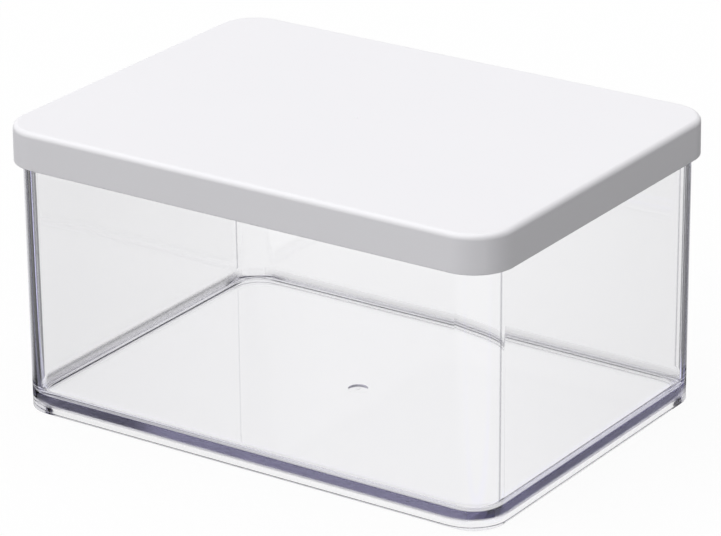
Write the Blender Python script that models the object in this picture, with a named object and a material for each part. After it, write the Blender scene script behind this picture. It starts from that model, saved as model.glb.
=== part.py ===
"""A clear rectangular storage tub with a white push-on lid and the soft seal ring that the lid carries.

Metres, +Z up. The long side lies along X. The origin is the centre of the base, on the surface that the
tub stands on. Every outline is a rounded rectangle, set out or in from the outside of the tub at its rim.
"""

import math

import bmesh
import bpy

MM = 0.001

# Tub
TUB_LENGTH = 194.0 * MM
TUB_WIDTH = 140.5 * MM
TUB_HEIGHT = 102.9 * MM
TUB_CORNER = 12.0 * MM
INNER_CORNER = 10.6 * MM
WALL = 2.0 * MM
OUTER_TAPER = 0.2 * MM
INNER_TAPER = 0.5 * MM
RIM_ROUND = 0.6 * MM
FLOOR = 2.4 * MM
FLOOR_FILLET = 4.3 * MM

# Foot rim under the floor
FOOT_HEIGHT = 2.7 * MM
FOOT_WIDTH = 2.4 * MM
FOOT_INNER_CORNER = 15.0 * MM
FOOT_FILLET = 1.2 * MM
FOOT_OUTER_ROUND = 0.3 * MM
FOOT_INNER_ROUND = 0.3 * MM

# Gate recess in the middle of the floor's underside, with the stub of the gate in it
GATE_RECESS_WIDTH = 7.4 * MM
GATE_RECESS_DEPTH = 0.5 * MM
GATE_STUB_WIDTH = 1.6 * MM
GATE_STUB_HEIGHT = 0.25 * MM

# Lid
LID_PLATE = 2.2 * MM
LID_WALL = 2.0 * MM
LID_FILLET = 2.0 * MM
SKIRT_HEIGHT = 13.8 * MM
SKIRT_TAPER = 0.12 * MM
EDGE_ROUND = 0.4 * MM
LID_GATE_WIDTH = 1.2 * MM
LID_GATE_DEPTH = 0.15 * MM

# Plug wall that goes down inside the rim, and the groove round it
PLUG_WALL = 2.8 * MM
PLUG_DEPTH = 10.8 * MM
PLUG_LEAD_IN = 0.9 * MM
PLUG_ROOT_FILLET = 1.0 * MM
GROOVE_DEPTH = 1.4 * MM
GROOVE_HEIGHT = 3.2 * MM
GROOVE_DROP = 4.9 * MM

# Seal ring
SEAL_LIP = 0.5 * MM
SEAL_LIP_TIP = 0.25 * MM
SEAL_LIP_RISE = 0.35 * MM

# Clearances
SEAT_GAP = 0.3 * MM
SKIRT_GAP = 1.0 * MM
PLUG_GAP = 1.0 * MM
CHANNEL_FILLET = 0.5 * MM

# Fineness of the curves
CORNER_STEPS = 12
FILLET_STEPS = 4
GATE_SIDES = 24
DOME_STEPS = 4
SMOOTH_BELOW = math.radians(35)

# Places that follow from the sizes above
FLOOR_TOP = FOOT_HEIGHT + FLOOR
LID_SEAT = TUB_HEIGHT + SEAT_GAP


def clear_scene():
    """Removes what the scene holds before the model is made."""
    for obj in list(bpy.data.objects):
        bpy.data.objects.remove(obj, do_unlink=True)


def material(name, color, roughness, alpha=1.0, transmission=0.0, ior=1.5):
    """A plain plastic or rubber finish."""
    made = bpy.data.materials.new(name)
    made.use_nodes = True
    shader = made.node_tree.nodes["Principled BSDF"]
    shader.inputs["Base Color"].default_value = (*color, 1.0)
    shader.inputs["Roughness"].default_value = roughness
    shader.inputs["Metallic"].default_value = 0.0
    shader.inputs["Alpha"].default_value = alpha
    shader.inputs["Transmission Weight"].default_value = transmission
    shader.inputs["IOR"].default_value = ior
    return made


def clear_plastic():
    return material("clear_plastic", (0.86, 0.87, 0.92), 0.03, 0.35, 0.9, 1.57)


def white_plastic():
    return material("white_plastic", (0.86, 0.86, 0.87), 0.38)


def seal_rubber():
    return material("seal_rubber", (0.78, 0.79, 0.8), 0.55)


def corner_radius(outset):
    """The corner radius of an outline that follows the outside of the tub's wall, or the inside of it."""
    if outset > -WALL / 2:
        return TUB_CORNER + outset
    return INNER_CORNER + WALL + outset


def outline(outset, height, corner=None):
    """A rounded rectangle outside the tub's outline by outset."""
    half_x = TUB_LENGTH / 2 + outset
    half_y = TUB_WIDTH / 2 + outset
    radius = corner_radius(outset) if corner is None else corner
    points = []
    for sign_x, sign_y, first in ((1, 1, 0), (-1, 1, 90), (-1, -1, 180), (1, -1, 270)):
        centre_x = sign_x * (half_x - radius)
        centre_y = sign_y * (half_y - radius)
        for step in range(CORNER_STEPS + 1):
            angle = math.radians(first + 90 * step / CORNER_STEPS)
            x = centre_x + radius * math.cos(angle)
            y = centre_y + radius * math.sin(angle)
            points.append((x, y, height))
    return points


def circle(radius, height):
    """A circle round the Z axis."""
    angles = [2 * math.pi * side / GATE_SIDES for side in range(GATE_SIDES)]
    return [(radius * math.cos(a), radius * math.sin(a), height) for a in angles]


def arc(out, up, radius, start, end):
    """Points of a section round a centre, from one angle to another in degrees."""
    turn = (end - start) / FILLET_STEPS
    angles = [math.radians(start + turn * step) for step in range(FILLET_STEPS + 1)]
    return [(out + radius * math.cos(a), up + radius * math.sin(a)) for a in angles]


def outlines(section):
    """The outline through each point of a section."""
    return [outline(out, up) for out, up in section]


def loft(name, rings, finish, is_loop=False):
    """A body skinned over rings of equal length. The first and last ring are filled, or joined in a loop."""
    bm = bmesh.new()
    loops = [[bm.verts.new(point) for point in ring] for ring in rings]
    pairs = list(zip(loops, loops[1:]))
    if is_loop:
        pairs.append((loops[-1], loops[0]))
    else:
        bm.faces.new(loops[0])
        bm.faces.new(loops[-1])
    for lower, upper in pairs:
        for i, corner in enumerate(lower):
            following = (i + 1) % len(lower)
            bm.faces.new((corner, lower[following], upper[following], upper[i]))
    bmesh.ops.recalc_face_normals(bm, faces=bm.faces)
    mesh = bpy.data.meshes.new(name)
    bm.to_mesh(mesh)
    bm.free()
    mesh.shade_smooth()
    mesh.set_sharp_from_angle(angle=SMOOTH_BELOW)
    body = bpy.data.objects.new(name, mesh)
    if finish:
        mesh.materials.append(finish)
    bpy.context.scene.collection.objects.link(body)
    return body


def cut(body, name, rings):
    """Cuts the shape skinned over the rings out of a body."""
    cutter = loft(name, rings, None)
    cutter.parent = body
    cutter.hide_render = True
    cutter.display_type = "WIRE"
    boolean = body.modifiers.new(name, "BOOLEAN")
    boolean.operation = "DIFFERENCE"
    boolean.solver = "EXACT"
    boolean.object = cutter


def foot_inner_side():
    """Rings from the floor's underside to the bottom of the foot, along its inner side."""
    face = -OUTER_TAPER - FOOT_WIDTH
    fillet = arc(face - FOOT_FILLET, FOOT_HEIGHT - FOOT_FILLET, FOOT_FILLET, 90, 0)
    edge = arc(face + FOOT_INNER_ROUND, FOOT_INNER_ROUND, FOOT_INNER_ROUND, 180, 270)
    return [outline(out, up, FOOT_INNER_CORNER + out - face) for out, up in fillet + edge]


def tub_section():
    """Section of the tub from the bottom of the foot, up the outside, over the rim and down to the floor."""
    foot = arc(-OUTER_TAPER - FOOT_OUTER_ROUND, FOOT_OUTER_ROUND, FOOT_OUTER_ROUND, -90, 0)
    rim_outside = arc(-RIM_ROUND, TUB_HEIGHT - RIM_ROUND, RIM_ROUND, 0, 90)
    rim_inside = arc(RIM_ROUND - WALL, TUB_HEIGHT - RIM_ROUND, RIM_ROUND, 90, 180)
    inner_foot = -WALL - INNER_TAPER
    floor_edge = arc(inner_foot - FLOOR_FILLET, FLOOR_TOP + FLOOR_FILLET, FLOOR_FILLET, 0, -90)
    return foot + rim_outside + rim_inside + floor_edge


def gate_recess():
    """A shallow dome up into the floor's underside, with the gate's stub left standing in its middle."""
    mouth = GATE_RECESS_WIDTH / 2
    stub = GATE_STUB_WIDTH / 2
    rings = [circle(mouth, FOOT_HEIGHT - GATE_RECESS_DEPTH)]
    for step in range(DOME_STEPS + 1):
        radius = mouth + (stub - mouth) * step / DOME_STEPS
        rise = GATE_RECESS_DEPTH * (1 - ((radius - stub) / (mouth - stub)) ** 2)
        rings.append(circle(radius, FOOT_HEIGHT + rise))
    rings.append(circle(stub, FOOT_HEIGHT + GATE_RECESS_DEPTH - GATE_STUB_HEIGHT))
    return rings


def make_tub(finish):
    tub = loft("tub", foot_inner_side() + outlines(tub_section()), finish)
    cut(tub, "gate_recess_cutter", gate_recess())
    return tub


def plug_face():
    """How far the outside of the plug wall lies in from the tub's outline."""
    return -WALL - PLUG_GAP


def groove_section(face):
    """The groove in the plug wall's outside, from its upper edge to its lower edge."""
    top = -GROOVE_DROP
    bottom = top - GROOVE_HEIGHT
    return [(face, top), (face - GROOVE_DEPTH, top), (face - GROOVE_DEPTH, bottom), (face, bottom)]


def lid_section():
    """Section of the lid from the top face, down the skirt, round the rim's channel and the plug wall.
    Heights are measured from the underside of the plate."""
    outside = SKIRT_GAP + LID_WALL
    skirt_bottom = LID_PLATE - SKIRT_HEIGHT
    top_edge = arc(outside - SKIRT_TAPER - LID_FILLET, LID_PLATE - LID_FILLET, LID_FILLET, 90, 0)
    edge = skirt_bottom + EDGE_ROUND
    skirt_outer_edge = arc(outside - EDGE_ROUND, edge, EDGE_ROUND, 0, -90)
    skirt_inner_edge = arc(SKIRT_GAP + EDGE_ROUND, edge, EDGE_ROUND, -90, -180)
    skirt_root = arc(SKIRT_GAP - SKIRT_TAPER - CHANNEL_FILLET, -CHANNEL_FILLET, CHANNEL_FILLET, 0, 90)
    face = plug_face()
    plug_root = arc(face + CHANNEL_FILLET, -CHANNEL_FILLET, CHANNEL_FILLET, 90, 180)
    lead_in = arc(face - PLUG_LEAD_IN, -PLUG_DEPTH + PLUG_LEAD_IN, PLUG_LEAD_IN, 0, -90)
    inside = face - PLUG_WALL
    inner_edge = arc(inside + EDGE_ROUND, -PLUG_DEPTH + EDGE_ROUND, EDGE_ROUND, -90, -180)
    inner_root = arc(inside - PLUG_ROOT_FILLET, -PLUG_ROOT_FILLET, PLUG_ROOT_FILLET, 0, 90)
    skirt = top_edge + skirt_outer_edge + skirt_inner_edge + skirt_root
    plug = plug_root + groove_section(face) + lead_in + inner_edge + inner_root
    return skirt + plug


def make_lid(finish):
    lid = loft("lid", outlines(lid_section()), finish)
    lid.location.z = LID_SEAT
    mark = LID_GATE_WIDTH / 2
    heights = (LID_PLATE - LID_GATE_DEPTH, LID_PLATE + LID_GATE_DEPTH)
    cut(lid, "lid_gate_cutter", [circle(mark, height) for height in heights])
    return lid


def seal_section():
    """Section of the seal ring: a square root that fills the groove, and two lips that lean up and out
    towards the tub's wall."""
    back = plug_face() - GROOVE_DEPTH + SEAT_GAP
    front = plug_face()
    tip = -WALL - SEAT_GAP
    top = -GROOVE_DROP - SEAT_GAP
    bottom = -GROOVE_DROP - GROOVE_HEIGHT + SEAT_GAP
    middle = (top + bottom) / 2
    section = [(back, bottom), (back, top), (front, top)]
    for lip_top in (top, middle):
        root = lip_top - SEAL_LIP_RISE - SEAL_LIP
        section += [(tip, lip_top), (tip, lip_top - SEAL_LIP_TIP), (front, root)]
    return section + [(front, bottom)]


def make_seal(lid, finish):
    seal = loft("lid_seal", outlines(seal_section()), finish, is_loop=True)
    seal.parent = lid
    return seal


def main():
    clear_scene()
    make_tub(clear_plastic())
    lid = make_lid(white_plastic())
    make_seal(lid, seal_rubber())


main()
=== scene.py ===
"""Looks of a clear rectangular storage tub with a white push-on lid and a soft seal ring.

Metres, +Z up. Every outline is a rounded rectangle, set out or in from the outside of the tub at its rim.
The tub, the lid and the seal are remade here with fine curves, at the sizes of the solids that they replace.
"""

import math

import bmesh
import bpy
from mathutils import Matrix, Vector


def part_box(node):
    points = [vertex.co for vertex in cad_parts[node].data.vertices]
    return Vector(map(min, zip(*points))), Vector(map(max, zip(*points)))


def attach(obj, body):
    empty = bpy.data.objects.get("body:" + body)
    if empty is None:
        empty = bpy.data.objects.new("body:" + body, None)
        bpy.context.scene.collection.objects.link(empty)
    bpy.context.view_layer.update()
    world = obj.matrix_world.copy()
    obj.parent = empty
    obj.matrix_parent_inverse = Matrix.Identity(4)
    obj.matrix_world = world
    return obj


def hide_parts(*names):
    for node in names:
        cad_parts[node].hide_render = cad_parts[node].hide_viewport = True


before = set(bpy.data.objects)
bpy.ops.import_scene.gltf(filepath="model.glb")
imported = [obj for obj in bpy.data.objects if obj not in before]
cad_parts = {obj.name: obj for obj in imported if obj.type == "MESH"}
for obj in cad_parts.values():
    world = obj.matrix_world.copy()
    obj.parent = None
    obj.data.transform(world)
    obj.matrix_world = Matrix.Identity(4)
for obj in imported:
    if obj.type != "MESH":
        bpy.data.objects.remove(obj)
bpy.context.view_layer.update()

MM = 0.001

# Sizes read from the solids
TUB_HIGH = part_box("tub")[1]
LID_LOW, LID_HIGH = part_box("lid")
TUB_HALF_X = TUB_HIGH.x
TUB_HALF_Y = TUB_HIGH.y
TUB_TOP = TUB_HIGH.z
LID_OUTSET = LID_HIGH.x - TUB_HIGH.x

# Tub
TUB_CORNER = 12.0 * MM
INNER_CORNER = 10.6 * MM
WALL = 2.0 * MM
OUTER_TAPER = 0.2 * MM
INNER_TAPER = 0.5 * MM
RIM_ROUND = 0.6 * MM
FLOOR = 2.4 * MM
FLOOR_FILLET = 4.3 * MM
FOOT_HEIGHT = 2.7 * MM
FOOT_WIDTH = 2.4 * MM
FOOT_INNER_CORNER = 15.0 * MM
FOOT_FILLET = 1.2 * MM
FOOT_OUTER_ROUND = 0.3 * MM
FOOT_INNER_ROUND = 0.3 * MM
GATE_RECESS_WIDTH = 7.4 * MM
GATE_RECESS_DEPTH = 0.5 * MM
GATE_STUB_WIDTH = 1.6 * MM
GATE_STUB_HEIGHT = 0.25 * MM
# The edge of the stub is cut off at this share of its width and height
GATE_STUB_EDGE = 0.85

# Lid and its plug wall
LID_PLATE = 2.2 * MM
LID_WALL = 2.0 * MM
LID_FILLET = 2.0 * MM
SKIRT_TAPER = 0.12 * MM
EDGE_ROUND = 0.4 * MM
LID_GATE_WIDTH = 1.2 * MM
LID_GATE_DEPTH = 0.15 * MM
# Shares of that width and depth: the deepest ring of the mark, and the middle that stands up in it
LID_GATE_RING = 0.7
LID_GATE_MIDDLE = 0.4
LID_GATE_MIDDLE_DEPTH = 0.3
PLUG_GAP = 1.0 * MM
PLUG_WALL = 2.8 * MM
PLUG_DEPTH = 10.8 * MM
PLUG_LEAD_IN = 0.9 * MM
PLUG_ROOT_FILLET = 1.0 * MM
CHANNEL_FILLET = 0.5 * MM
GROOVE_DEPTH = 1.4 * MM
GROOVE_HEIGHT = 3.2 * MM
GROOVE_DROP = 4.9 * MM
GROOVE_ROUND = 0.15 * MM

# Seal ring
SEAL_GAP = 0.3 * MM
SEAL_LIP = 0.5 * MM
SEAL_LIP_TIP = 0.25 * MM
SEAL_LIP_RISE = 0.35 * MM

# Fineness and shading of the curves
CORNER_STEPS = 32
FILLET_STEPS = 8
GROOVE_STEPS = 3
SMOOTH_BELOW = math.radians(32)
LARGE_FACES_LEAD = 100

# Camera: angles in degrees, places in metres, the lens in pixels of the photograph and the sensor in
# millimetres
AZIMUTH = 34.32
ELEVATION = 21.98
ROLL = -0.55
DISTANCE = 1.41418
TARGET = Vector((-0.00007, 0.00141, 0.0494))
FOCAL_PIXELS = 4065.2
FRAME_WIDTH = 721
SENSOR = 36.0
NEAREST_SEEN = 0.05
FARTHEST_SEEN = 50.0


def corner_radius(outset):
    """The corner radius of an outline that follows the outside of the tub's wall, or the inside of it."""
    if outset > -WALL / 2:
        return TUB_CORNER + outset
    return INNER_CORNER + WALL + outset


def outline(outset, height, corner=None):
    """A rounded rectangle outside the tub's outline by outset."""
    half_x = TUB_HALF_X + outset
    half_y = TUB_HALF_Y + outset
    radius = corner_radius(outset) if corner is None else corner
    points = []
    for sign_x, sign_y, first in ((1, 1, 0), (-1, 1, 90), (-1, -1, 180), (1, -1, 270)):
        centre_x = sign_x * (half_x - radius)
        centre_y = sign_y * (half_y - radius)
        for step in range(CORNER_STEPS + 1):
            angle = math.radians(first + 90 * step / CORNER_STEPS)
            x = centre_x + radius * math.cos(angle)
            y = centre_y + radius * math.sin(angle)
            points.append((x, y, height))
    return points


def circle(radius, height):
    """A circle round the Z axis with as many points as an outline."""
    sides = 4 * (CORNER_STEPS + 1)
    angles = [2 * math.pi * side / sides for side in range(sides)]
    return [(radius * math.cos(a), radius * math.sin(a), height) for a in angles]


def arc(out, up, radius, start, end, steps=FILLET_STEPS):
    """Points of a section round a centre, from one angle to another in degrees."""
    angles = [math.radians(start + (end - start) * i / steps) for i in range(steps + 1)]
    return [(out + radius * math.cos(a), up + radius * math.sin(a)) for a in angles]


def outlines(section, rise=0.0):
    """The outline through each point of a section, lifted by rise."""
    return [outline(out, up + rise) for out, up in section]


def loft(name, rings, is_loop=False):
    """A body skinned over rings of equal length. The first and last ring are filled, or joined in a loop."""
    bm = bmesh.new()
    loops = [[bm.verts.new(point) for point in ring] for ring in rings]
    pairs = list(zip(loops, loops[1:]))
    if is_loop:
        pairs.append((loops[-1], loops[0]))
    else:
        bm.faces.new(loops[0])
        bm.faces.new(loops[-1])
    for lower, upper in pairs:
        for i, corner in enumerate(lower):
            following = (i + 1) % len(lower)
            bm.faces.new((corner, lower[following], upper[following], upper[i]))
    bmesh.ops.recalc_face_normals(bm, faces=bm.faces)
    mesh = bpy.data.meshes.new(name)
    bm.to_mesh(mesh)
    bm.free()
    mesh.shade_smooth()
    mesh.set_sharp_from_angle(angle=SMOOTH_BELOW)
    body = bpy.data.objects.new(name, mesh)
    bpy.context.scene.collection.objects.link(body)
    weighted = body.modifiers.new("weighted_normals", "WEIGHTED_NORMAL")
    weighted.mode = "FACE_AREA"
    weighted.weight = LARGE_FACES_LEAD
    weighted.keep_sharp = True
    return body


def gate_rings():
    """Rings from the gate's stub out to the mouth of its dome in the floor's underside."""
    mouth = GATE_RECESS_WIDTH / 2
    stub = GATE_STUB_WIDTH / 2
    roof = FOOT_HEIGHT + GATE_RECESS_DEPTH
    rings = [
        circle(stub * GATE_STUB_EDGE, roof - GATE_STUB_HEIGHT),
        circle(stub, roof - GATE_STUB_HEIGHT * GATE_STUB_EDGE),
    ]
    for step in range(2 * FILLET_STEPS + 1):
        share = step / (2 * FILLET_STEPS)
        rings.append(circle(stub + (mouth - stub) * share, FOOT_HEIGHT + GATE_RECESS_DEPTH * (1 - share**2)))
    return rings


def foot_inner_side():
    """Rings from the floor's underside to the bottom of the foot, along its inner side."""
    face = -OUTER_TAPER - FOOT_WIDTH
    fillet = arc(face - FOOT_FILLET, FOOT_HEIGHT - FOOT_FILLET, FOOT_FILLET, 90, 0)
    edge = arc(face + FOOT_INNER_ROUND, FOOT_INNER_ROUND, FOOT_INNER_ROUND, 180, 270)
    return [outline(out, up, FOOT_INNER_CORNER + out - face) for out, up in fillet + edge]


def tub_section():
    """Section of the tub from the bottom of the foot, up the outside, over the rim and down to the floor."""
    floor_top = FOOT_HEIGHT + FLOOR
    foot = arc(-OUTER_TAPER - FOOT_OUTER_ROUND, FOOT_OUTER_ROUND, FOOT_OUTER_ROUND, -90, 0)
    rim_outside = arc(-RIM_ROUND, TUB_TOP - RIM_ROUND, RIM_ROUND, 0, 90)
    rim_inside = arc(RIM_ROUND - WALL, TUB_TOP - RIM_ROUND, RIM_ROUND, 90, 180)
    inner_foot = -WALL - INNER_TAPER
    floor_edge = arc(inner_foot - FLOOR_FILLET, floor_top + FLOOR_FILLET, FLOOR_FILLET, 0, -90)
    return foot + rim_outside + rim_inside + floor_edge


def make_tub():
    """The clear tub: foot rim, floor, walls and rim in one skin."""
    tub = loft("clear_tub", gate_rings() + foot_inner_side() + outlines(tub_section()))
    tub.data.materials.append(clear_plastic())
    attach(tub, "tub")
    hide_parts("tub")


def groove_section(face):
    """The groove in the plug wall's outside, from its upper edge to its lower edge."""
    top = -GROOVE_DROP
    bottom = top - GROOVE_HEIGHT
    back = face - GROOVE_DEPTH
    upper_lip = arc(face - GROOVE_ROUND, top + GROOVE_ROUND, GROOVE_ROUND, 0, -90, GROOVE_STEPS)
    lower_lip = arc(face - GROOVE_ROUND, bottom - GROOVE_ROUND, GROOVE_ROUND, 90, 0, GROOVE_STEPS)
    return upper_lip + [(back, top), (back, bottom)] + lower_lip


def lid_section():
    """Section of the lid from the top face, down the skirt, round the rim's channel and the plug wall.
    Heights are measured from the underside of the plate."""
    skirt_bottom = LID_LOW.z - (LID_HIGH.z - LID_PLATE)
    inner_skirt = LID_OUTSET - LID_WALL
    edge = skirt_bottom + EDGE_ROUND
    top_edge = arc(LID_OUTSET - SKIRT_TAPER - LID_FILLET, LID_PLATE - LID_FILLET, LID_FILLET, 90, 0)
    skirt_outer_edge = arc(LID_OUTSET - EDGE_ROUND, edge, EDGE_ROUND, 0, -90)
    skirt_inner_edge = arc(inner_skirt + EDGE_ROUND, edge, EDGE_ROUND, -90, -180)
    skirt_root = arc(inner_skirt - SKIRT_TAPER - CHANNEL_FILLET, -CHANNEL_FILLET, CHANNEL_FILLET, 0, 90)
    face = -WALL - PLUG_GAP
    inside = face - PLUG_WALL
    plug_root = arc(face + CHANNEL_FILLET, -CHANNEL_FILLET, CHANNEL_FILLET, 90, 180)
    lead_in = arc(face - PLUG_LEAD_IN, -PLUG_DEPTH + PLUG_LEAD_IN, PLUG_LEAD_IN, 0, -90)
    inner_edge = arc(inside + EDGE_ROUND, -PLUG_DEPTH + EDGE_ROUND, EDGE_ROUND, -90, -180)
    inner_root = arc(inside - PLUG_ROOT_FILLET, -PLUG_ROOT_FILLET, PLUG_ROOT_FILLET, 0, 90)
    skirt = top_edge + skirt_outer_edge + skirt_inner_edge + skirt_root
    plug = plug_root + groove_section(face) + lead_in + inner_edge + inner_root
    return skirt + plug


def make_lid():
    """The white lid, with the gate's small mark in the middle of its top."""
    plate_under = LID_HIGH.z - LID_PLATE
    mark = LID_GATE_WIDTH / 2
    top = LID_HIGH.z
    gate = [
        circle(mark * LID_GATE_MIDDLE, top - LID_GATE_DEPTH * LID_GATE_MIDDLE_DEPTH),
        circle(mark * LID_GATE_RING, top - LID_GATE_DEPTH),
        circle(mark, top),
    ]
    lid = loft("white_lid", gate + outlines(lid_section(), plate_under))
    lid.data.materials.append(white_plastic())
    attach(lid, "lid")
    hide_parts("lid")


def seal_section():
    """Section of the seal ring: a square root that fills the groove, and two lips that lean up and out
    towards the tub's wall."""
    front = -WALL - PLUG_GAP
    back = front - GROOVE_DEPTH + SEAL_GAP
    tip = -WALL - SEAL_GAP
    top = -GROOVE_DROP - SEAL_GAP
    bottom = -GROOVE_DROP - GROOVE_HEIGHT + SEAL_GAP
    middle = (top + bottom) / 2
    section = [(back, bottom), (back, top), (front, top)]
    for root in (top - SEAL_LIP_RISE, middle - SEAL_LIP_RISE):
        raised = root + SEAL_LIP_RISE
        section += [(tip, raised), (tip, raised - SEAL_LIP_TIP), (front, root - SEAL_LIP)]
    return section + [(front, bottom)]


def make_seal():
    """The soft seal ring in the plug wall's groove."""
    seal = loft("soft_seal", outlines(seal_section(), LID_HIGH.z - LID_PLATE), is_loop=True)
    seal.data.materials.append(seal_rubber())
    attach(seal, "lid")
    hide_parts("lid_seal")


def new_material(name):
    """A material with its nodes, links and shader."""
    made = bpy.data.materials.new(name)
    made.use_nodes = True
    nodes = made.node_tree.nodes
    return made, nodes, made.node_tree.links, nodes["Principled BSDF"]


def feed(links, value, socket):
    """Gives a socket what it works with: another socket, a number or a plain colour."""
    if isinstance(value, tuple):
        socket.default_value = (*value, 1.0)
    elif isinstance(value, (int, float)):
        socket.default_value = value
    else:
        links.new(value, socket)


def math_node(nodes, links, operation, first, second=0.0):
    """A math node on two values, each a socket or a number."""
    node = nodes.new("ShaderNodeMath")
    node.operation = operation
    feed(links, first, node.inputs[0])
    feed(links, second, node.inputs[1])
    return node.outputs["Value"]


def product(nodes, links, first, second):
    """One value times another."""
    return math_node(nodes, links, "MULTIPLY", first, second)


def opposite(nodes, links, value):
    """1 where a value is 0, and 0 where it is 1."""
    return math_node(nodes, links, "SUBTRACT", 1.0, value)


def components(nodes, links, vector):
    """The X, Y and Z of a vector."""
    node = nodes.new("ShaderNodeSeparateXYZ")
    feed(links, vector, node.inputs[0])
    return node.outputs["X"], node.outputs["Y"], node.outputs["Z"]


def blend(nodes, links, factor, first, second, kind="FLOAT"):
    """A blend of two numbers, or of two colours where kind is RGBA, by a factor from 0 to 1."""
    node = nodes.new("ShaderNodeMix")
    node.data_type = kind
    feed(links, factor, node.inputs["Factor"])
    feed(links, first, node.inputs["A"])
    feed(links, second, node.inputs["B"])
    return node.outputs["Result"]


def mix_shader(nodes, links, factor, first, second):
    """A blend of two shaders by a factor from 0 to 1."""
    node = nodes.new("ShaderNodeMixShader")
    feed(links, factor, node.inputs["Fac"])
    feed(links, first, node.inputs[1])
    feed(links, second, node.inputs[2])
    return node.outputs[0]


def map_range(nodes, links, value, source=(0.0, 1.0), target=(0.0, 1.0), kind="LINEAR"):
    """A value carried from the source range to the target range, and held at its ends."""
    node = nodes.new("ShaderNodeMapRange")
    node.interpolation_type = kind
    for name, low_and_high in (("From", source), ("To", target)):
        for end, number in zip(("Min", "Max"), low_and_high):
            node.inputs[f"{name} {end}"].default_value = number
    feed(links, value, node.inputs["Value"])
    return node.outputs["Result"]


def smooth_step(nodes, links, value, low, high):
    """0 below low, 1 above high, and a smooth rise between."""
    return map_range(nodes, links, value, source=(low, high), kind="SMOOTHSTEP")


def between(nodes, links, value, start, full, fade, end):
    """A smooth rise from 0 at start to 1 at full, and a smooth fall from 1 at fade to 0 at end."""
    rise = smooth_step(nodes, links, value, start, full)
    return math_node(nodes, links, "SUBTRACT", rise, smooth_step(nodes, links, value, fade, end))


def noise(nodes, links, place, size, detail):
    """Noise between 0 and 1 whose grains are about size across."""
    node = nodes.new("ShaderNodeTexNoise")
    node.inputs["Scale"].default_value = 1 / size
    node.inputs["Detail"].default_value = detail
    feed(links, place, node.inputs["Vector"])
    return node.outputs["Fac"]


def bump(nodes, links, height, depth):
    """A normal for a surface that rises by depth where height is 1."""
    node = nodes.new("ShaderNodeBump")
    node.inputs["Strength"].default_value = 1.0
    node.inputs["Distance"].default_value = depth
    feed(links, height, node.inputs["Height"])
    return node.outputs["Normal"]


WHITE = (1.0, 1.0, 1.0)

# Detail of the noise in a slow wave, in a grain and in cloudy patches
WAVE_DETAIL = 1.0
GRAIN_DETAIL = 2.0
CLOUD_DETAIL = 3.0

# Clear plastic
CLEAR_IOR = 1.57
CLEAR_WAVE_SIZE = 30.0 * MM
CLEAR_WAVE_DEPTH = 0.03 * MM
# The violet-blue that light takes on in its way through the plastic, and how fast it does so
DEPTH_COLOUR = (0.36, 0.34, 0.5)
DEPTH_DENSITY = 18.0
# Painted dark reflections in the rounded corners: the tone of the plastic there, by how far it turns from the
# # eye, stands in for the dark things that the corners mirror
PAINTED_REFLECTION_TONES = (
    (0.34, 1.0),
    (0.358, 0.38),
    (0.388, 0.38),
    (0.406, 1.0),
    (0.503, 1.0),
    (0.525, 0.1),
    (0.59, 0.1),
    (0.64, 0.2),
    (0.7, 0.4),
    (0.78, 0.62),
    (0.86, 0.8),
    (1.0, 1.0),
)
# Painted reflection tones darker than the first number have this much more blue
PAINTED_REFLECTION_BLUE_BELOW = 0.9
PAINTED_REFLECTION_BLUE = 1.08
# Width of the soft border of those tones, and the height over which they fade in above the floor's fillet
PAINTED_REFLECTION_BLUR = 0.3 * MM
PAINTED_REFLECTION_FADE = 1.0 * MM
# The outside is slightly frosted level with the floor, up to this height above it, with a soft border
SLAB_ROUGHNESS = 0.3
SLAB_SHOWS_ABOVE = 1.7 * MM
SLAB_BLUR = 0.15 * MM

# White plastic
WHITE_IOR = 1.49
WHITE_COLOURS = ((0.846, 0.838, 0.868), (0.86, 0.853, 0.878))
WHITE_ROUGHNESS = (0.38, 0.48)
WHITE_CLOUD_SIZE = 40.0 * MM
WHITE_GRAIN_SIZE = 0.35 * MM
WHITE_GRAIN_DEPTH = 0.006 * MM

# Seal rubber
RUBBER_IOR = 1.41
RUBBER_COLOURS = ((0.74, 0.75, 0.76), (0.82, 0.82, 0.82))
RUBBER_ROUGHNESS = (0.45, 0.65)
RUBBER_MOTTLE_SIZE = 6.0 * MM
RUBBER_GRAIN_SIZE = 0.2 * MM
RUBBER_GRAIN_DEPTH = 0.01 * MM


def painted_reflection_corners(nodes, links, place):
    """1 in the tub's four upright corners, where the dark reflections are painted, and 0 on its flat walls.
    """
    across, along, height = components(nodes, links, place)
    inside = []
    for where, half in ((across, TUB_HALF_X), (along, TUB_HALF_Y)):
        distance = math_node(nodes, links, "ABSOLUTE", where)
        start = half - TUB_CORNER
        inside.append(smooth_step(nodes, links, distance, start - PAINTED_REFLECTION_BLUR, start + PAINTED_REFLECTION_BLUR))
    full = FOOT_HEIGHT + FLOOR + FLOOR_FILLET
    raised = smooth_step(nodes, links, height, full - PAINTED_REFLECTION_FADE, full)
    return product(nodes, links, product(nodes, links, *inside), raised)


def slab_roughness(nodes, links, place):
    """The roughness of the clear plastic: polished, but for the strip of the outside level with the floor."""
    across, along, height = components(nodes, links, place)
    top = FOOT_HEIGHT + FLOOR + SLAB_SHOWS_ABOVE
    borders = [level + side * SLAB_BLUR for level in (FOOT_HEIGHT, top) for side in (-1, 1)]
    strip = between(nodes, links, height, *borders)
    outside = []
    for where, half in ((across, TUB_HALF_X), (along, TUB_HALF_Y)):
        distance = math_node(nodes, links, "ABSOLUTE", where)
        outside.append(math_node(nodes, links, "GREATER_THAN", distance, half - WALL / 2))
    strip = product(nodes, links, strip, math_node(nodes, links, "MAXIMUM", *outside))
    return product(nodes, links, strip, SLAB_ROUGHNESS)


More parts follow.
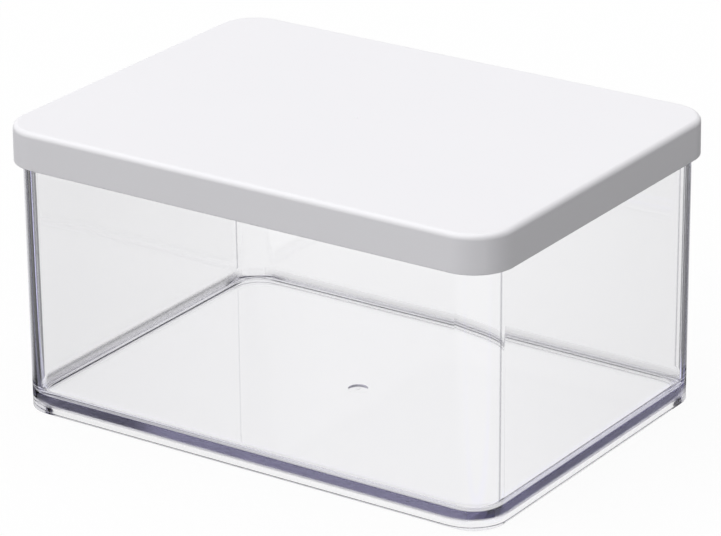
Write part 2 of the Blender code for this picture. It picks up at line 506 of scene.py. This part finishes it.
def painted_corner_reflection(nodes, links):
    """The painted dark reflection in the rounded corners: a tone by how far they turn from the eye."""
    tones = nodes.new("ShaderNodeValToRGB")
    stops = tones.color_ramp.elements
    while len(stops) < len(PAINTED_REFLECTION_TONES):
        stops.new(1.0)
    for stop, (where, tone) in zip(stops, PAINTED_REFLECTION_TONES):
        blue = tone * PAINTED_REFLECTION_BLUE if tone < PAINTED_REFLECTION_BLUE_BELOW else tone
        stop.position = where
        stop.color = (tone, tone, blue, 1.0)
    feed(links, nodes.new("ShaderNodeLayerWeight").outputs["Facing"], tones.inputs["Fac"])
    return tones.outputs["Color"]


def clear_plastic():
    """Polished clear plastic. It looks violet-blue where light runs a long way in it. At the turn of the
    corners it has painted dark reflections. The faces carry a very faint wave from the mould."""
    made, nodes, links, shader = new_material("clear_plastic")
    place = nodes.new("ShaderNodeTexCoord").outputs["Object"]
    # The base colour carries painted dark reflections in the upright corners.
    tone = blend(nodes, links, painted_reflection_corners(nodes, links, place), WHITE, painted_corner_reflection(nodes, links), "RGBA")
    wave = noise(nodes, links, place, CLEAR_WAVE_SIZE, WAVE_DETAIL)
    links.new(tone, shader.inputs["Base Color"])
    links.new(slab_roughness(nodes, links, place), shader.inputs["Roughness"])
    links.new(bump(nodes, links, wave, CLEAR_WAVE_DEPTH), shader.inputs["Normal"])
    shader.inputs["Transmission Weight"].default_value = 1.0
    shader.inputs["IOR"].default_value = CLEAR_IOR
    absorb = nodes.new("ShaderNodeVolumeAbsorption")
    absorb.inputs["Color"].default_value = (*DEPTH_COLOUR, 1.0)
    absorb.inputs["Density"].default_value = DEPTH_DENSITY
    links.new(absorb.outputs["Volume"], nodes["Material Output"].inputs["Volume"])
    return made


def white_plastic():
    """Satin white moulded plastic: a fine spark-eroded grain, and cloudy patches of slightly other gloss."""
    made, nodes, links, shader = new_material("white_plastic")
    place = nodes.new("ShaderNodeTexCoord").outputs["Object"]
    cloud = noise(nodes, links, place, WHITE_CLOUD_SIZE, CLOUD_DETAIL)
    grain = noise(nodes, links, place, WHITE_GRAIN_SIZE, GRAIN_DETAIL)
    links.new(blend(nodes, links, cloud, *WHITE_COLOURS, "RGBA"), shader.inputs["Base Color"])
    links.new(map_range(nodes, links, cloud, target=WHITE_ROUGHNESS), shader.inputs["Roughness"])
    links.new(bump(nodes, links, grain, WHITE_GRAIN_DEPTH), shader.inputs["Normal"])
    shader.inputs["IOR"].default_value = WHITE_IOR
    return made


def seal_rubber():
    """Soft milky rubber with a dull skin and faint mottling."""
    made, nodes, links, shader = new_material("seal_rubber")
    place = nodes.new("ShaderNodeTexCoord").outputs["Object"]
    mottle = noise(nodes, links, place, RUBBER_MOTTLE_SIZE, CLOUD_DETAIL)
    grain = noise(nodes, links, place, RUBBER_GRAIN_SIZE, GRAIN_DETAIL)
    links.new(blend(nodes, links, mottle, *RUBBER_COLOURS, "RGBA"), shader.inputs["Base Color"])
    links.new(map_range(nodes, links, grain, target=RUBBER_ROUGHNESS), shader.inputs["Roughness"])
    links.new(bump(nodes, links, grain, RUBBER_GRAIN_DEPTH), shader.inputs["Normal"])
    shader.inputs["IOR"].default_value = RUBBER_IOR
    return made


# Half of the stage floor's side, and how far it lies below the tub
STAGE_HALF = 12.0
STAGE_DROP = 0.2 * MM
# The share of its white that is its own light, the grey that takes the shadow, and the grey that scattered
# light meets
STAGE_OWN_WHITE = 0.93
STAGE_LIT = 0.9
STAGE_SCATTERED = 0.12
# A look that has met more surfaces than this ran along inside the plastic, and sees the stage floor white
LONG_PATH = 8.5

# Tones of the stage floor in mirror images, each pair from where its range starts to where it ends: under the
# tub, in front, on the right, and round the left and the far right corner
MIRRORED_UNDER = 0.55
MIRRORED_FRONT = (0.08, 0.78)
MIRRORED_RIGHT = (0.82, 0.5)
MIRRORED_ROUND_CORNERS = (0.1, 1.0)
# Ranges of the tone in front, and of its change to white at the front corner, in metres along the front wall
FRONT_BRIGHTENS = (-0.085, 0.03)
CORNER_BRIGHTENS = (0.095, 0.15)
# Ranges of the tones round the left and the far right corner, and those in which the tones behind and on the
# right end, by the slope of a line from the centre of the tub's rounded corner
LEFT_BRIGHTENS = (0.05, 0.65)
BEHIND_BRIGHTENS = (-0.2, 0.45)
BEHIND_ENDS = (0.5, 0.9)
RIGHT_ENDS = (-0.58, -0.5)
# The strips that the edge of the tub's floor mirrors, in front and on the right: the distances from the wall
# # at which they start, are full, begin to fade and end. They are painted reflections, white, with a tint
# that
# # paints more violet into the plastic's reflections.
STRIP_IN_FRONT = (0.004, 0.007, 0.0145, 0.0175)
STRIP_ON_RIGHT = (0.0025, 0.0045, 0.0095, 0.0115)
STRIP_TINT = (0.86, 0.84, 1.3)
# Width of the soft borders between the tones
TONE_BLUR = 0.01
# The least distance that a slope is divided by
LEAST_RUN = 0.1 * MM


def mirrored_tone(nodes, links):
    """Painted reflections: the brightness of the stage floor in mirror images by place on it, and where its
    two tinted strips are.
    The tones in front and on the right run out from the walls as the photograph's line of sight does, once a
    wall has mirrored it."""
    across, along, _ = components(nodes, links, nodes.new("ShaderNodeTexCoord").outputs["Object"])
    slant = math.tan(math.radians(AZIMUTH))
    centre_x = TUB_HALF_X - TUB_CORNER
    centre_y = TUB_HALF_Y - TUB_CORNER

    # In front
    before = math_node(nodes, links, "SUBTRACT", -TUB_HALF_Y, along)
    place = math_node(nodes, links, "ADD", across, product(nodes, links, before, slant))
    front_tone = map_range(nodes, links, place, FRONT_BRIGHTENS, MIRRORED_FRONT)
    front_tone = blend(nodes, links, map_range(nodes, links, place, CORNER_BRIGHTENS), front_tone, 1.0)
    front_strip = between(nodes, links, before, *STRIP_IN_FRONT)
    front_tone = blend(nodes, links, front_strip, front_tone, 1.0)
    front = smooth_step(nodes, links, before, -TONE_BLUR, 0.0)

    # On the right
    beside = math_node(nodes, links, "SUBTRACT", across, TUB_HALF_X)
    place = math_node(nodes, links, "SUBTRACT", along, math_node(nodes, links, "DIVIDE", beside, slant))
    right_tone = map_range(nodes, links, place, (-TUB_HALF_Y, TUB_HALF_Y), MIRRORED_RIGHT)
    right_strip = between(nodes, links, beside, *STRIP_ON_RIGHT)
    right_tone = blend(nodes, links, right_strip, right_tone, 1.0)
    right = smooth_step(nodes, links, beside, -TONE_BLUR, 0.0)

    # On the left
    rise = math_node(nodes, links, "ADD", along, centre_y)
    run = math_node(nodes, links, "SUBTRACT", -centre_x, across)
    slope = math_node(nodes, links, "DIVIDE", rise, run)
    left_tone = map_range(nodes, links, slope, LEFT_BRIGHTENS, MIRRORED_ROUND_CORNERS)
    left = smooth_step(nodes, links, run, TUB_CORNER, TUB_CORNER + TONE_BLUR)

    # Behind, where the tone on the right ends too
    rise = math_node(nodes, links, "SUBTRACT", centre_x, across)
    run = math_node(nodes, links, "MAXIMUM", math_node(nodes, links, "SUBTRACT", along, centre_y), LEAST_RUN)
    slope = math_node(nodes, links, "DIVIDE", rise, run)
    behind_tone = map_range(nodes, links, slope, BEHIND_BRIGHTENS, MIRRORED_ROUND_CORNERS)
    behind = smooth_step(nodes, links, run, TUB_CORNER, TUB_CORNER + TONE_BLUR)
    past_end = smooth_step(nodes, links, slope, *BEHIND_ENDS)
    behind = product(nodes, links, behind, opposite(nodes, links, past_end))
    past_end = smooth_step(nodes, links, slope, *RIGHT_ENDS)
    right = product(nodes, links, right, opposite(nodes, links, past_end))

    tone = MIRRORED_UNDER
    sides = ((left, left_tone), (behind, behind_tone), (right, right_tone), (front, front_tone))
    for where, side_tone in sides:
        tone = blend(nodes, links, where, tone, side_tone)
    return tone, math_node(nodes, links, "MAXIMUM", front_strip, right_strip)


def diffuse(nodes, grey):
    """A dull surface of one grey."""
    node = nodes.new("ShaderNodeBsdfDiffuse")
    node.inputs["Color"].default_value = (grey, grey, grey, 1.0)
    return node.outputs[0]


def stage_white():
    """The stage floor's material. To the eye most of its white is its own, so that only soft shadow shows on
    it. In mirror images it has other tones by place, which stand in for what the real box mirrored. A look
    through clear walls meets an even number of surfaces and a mirror image adds one, so an odd count tells a
    mirror image. Scattered light meets a dark grey, so that the stage floor hardly lights the box."""
    made, nodes, links, shader = new_material("floor")
    nodes.remove(shader)
    path = nodes.new("ShaderNodeLightPath").outputs
    own_light = nodes.new("ShaderNodeEmission").outputs[0]
    white = mix_shader(nodes, links, STAGE_OWN_WHITE, diffuse(nodes, STAGE_LIT), own_light)
    mirrored = nodes.new("ShaderNodeEmission")
    tone, strips = mirrored_tone(nodes, links)
    links.new(tone, mirrored.inputs["Strength"])
    links.new(blend(nodes, links, strips, WHITE, STRIP_TINT, "RGBA"), mirrored.inputs["Color"])
    is_odd = math_node(nodes, links, "MODULO", path["Ray Depth"], 2.0)
    is_short = math_node(nodes, links, "LESS_THAN", path["Ray Depth"], LONG_PATH)
    seen = mix_shader(nodes, links, product(nodes, links, is_odd, is_short), white, mirrored.outputs[0])
    final = mix_shader(nodes, links, path["Is Diffuse Ray"], seen, diffuse(nodes, STAGE_SCATTERED))
    links.new(final, nodes["Material Output"].inputs["Surface"])
    return made


def make_floor():
    """A wide pale floor under the tub, which is stage and not part of the object."""
    bm = bmesh.new()
    bmesh.ops.create_grid(bm, x_segments=1, y_segments=1, size=STAGE_HALF)
    mesh = bpy.data.meshes.new("floor")
    bm.to_mesh(mesh)
    bm.free()
    mesh.materials.append(stage_white())
    floor = bpy.data.objects.new("floor", mesh)
    floor.location.z = -STAGE_DROP
    bpy.context.scene.collection.objects.link(floor)


# Brightness of the dim room, of the wide soft light above and of the softer one in front
ROOM = 0.095
TOP_LIGHT = 1.54
FRONT_LIGHT = 1.04
FRONT_FROM = Vector((-0.5, -0.85, 0.45))
# Each light grows from nothing at the first number to full at the second: the one above by the height of a
# direction, the one in front by the cosine of a direction's angle to the one it comes from
TOP_LIGHT_EDGE = (0.45, 1.0)
FRONT_LIGHT_EDGE = (0.35, 1.0)
# Mirror images see white below the first height and the studio above the second
WHITE_ENDS = (0.42, 0.55)


def make_world():
    """A dim room under one wide soft light, with a softer one in front. It is white to the camera, through
    the clear plastic, and low down in mirror images."""
    world = bpy.data.worlds.new("studio")
    bpy.context.scene.world = world
    world.use_nodes = True
    nodes = world.node_tree.nodes
    links = world.node_tree.links
    direction = nodes.new("ShaderNodeTexCoord").outputs["Generated"]
    height = components(nodes, links, direction)[2]
    top = product(nodes, links, smooth_step(nodes, links, height, *TOP_LIGHT_EDGE), TOP_LIGHT)
    facing = nodes.new("ShaderNodeVectorMath")
    facing.operation = "DOT_PRODUCT"
    links.new(direction, facing.inputs[0])
    facing.inputs[1].default_value = FRONT_FROM.normalized()
    front = smooth_step(nodes, links, facing.outputs["Value"], *FRONT_LIGHT_EDGE)
    front = product(nodes, links, front, FRONT_LIGHT)
    studio = math_node(nodes, links, "ADD", math_node(nodes, links, "ADD", top, front), ROOM)
    path = nodes.new("ShaderNodeLightPath").outputs
    low = opposite(nodes, links, smooth_step(nodes, links, height, *WHITE_ENDS))
    mirrored = product(nodes, links, path["Is Glossy Ray"], low)
    backdrop = math_node(nodes, links, "MAXIMUM", mirrored, path["Is Transmission Ray"])
    is_white = math_node(nodes, links, "MAXIMUM", path["Is Camera Ray"], backdrop)
    background = nodes["Background"]
    background.inputs["Color"].default_value = (*WHITE, 1.0)
    links.new(blend(nodes, links, is_white, studio, 1.0), background.inputs["Strength"])


def make_camera():
    """The camera where the photograph was taken from."""
    azimuth, elevation, roll = map(math.radians, (AZIMUTH, ELEVATION, ROLL))
    flat = math.cos(elevation)
    back = Vector((math.sin(azimuth) * flat, -math.cos(azimuth) * flat, math.sin(elevation)))
    level_right = (-back).cross(Vector((0, 0, 1))).normalized()
    level_up = level_right.cross(-back)
    right = level_right * math.cos(roll) + level_up * math.sin(roll)
    up = level_up * math.cos(roll) - level_right * math.sin(roll)
    data = bpy.data.cameras.new("camera")
    data.sensor_width = SENSOR
    data.lens = FOCAL_PIXELS * SENSOR / FRAME_WIDTH
    data.clip_start = NEAREST_SEEN
    data.clip_end = FARTHEST_SEEN
    camera = bpy.data.objects.new("camera", data)
    bpy.context.scene.collection.objects.link(camera)
    axes = Matrix((right, up, back)).transposed()
    camera.matrix_world = Matrix.Translation(TARGET + back * DISTANCE) @ axes.to_4x4()
    bpy.context.scene.camera = camera


# Enough bounces for light that runs along inside the clear floor
BOUNCES = 200
DIFFUSE_BOUNCES = 4


def set_light_paths():
    """The numbers of bounces, and the removal of grain."""
    cycles = bpy.context.scene.cycles
    cycles.max_bounces = BOUNCES
    cycles.transmission_bounces = BOUNCES
    cycles.glossy_bounces = BOUNCES
    cycles.diffuse_bounces = DIFFUSE_BOUNCES
    cycles.use_denoising = True


bpy.context.scene.view_settings.view_transform = "Standard"
make_tub()
make_lid()
make_seal()
make_floor()
make_world()
make_camera()
set_light_paths()
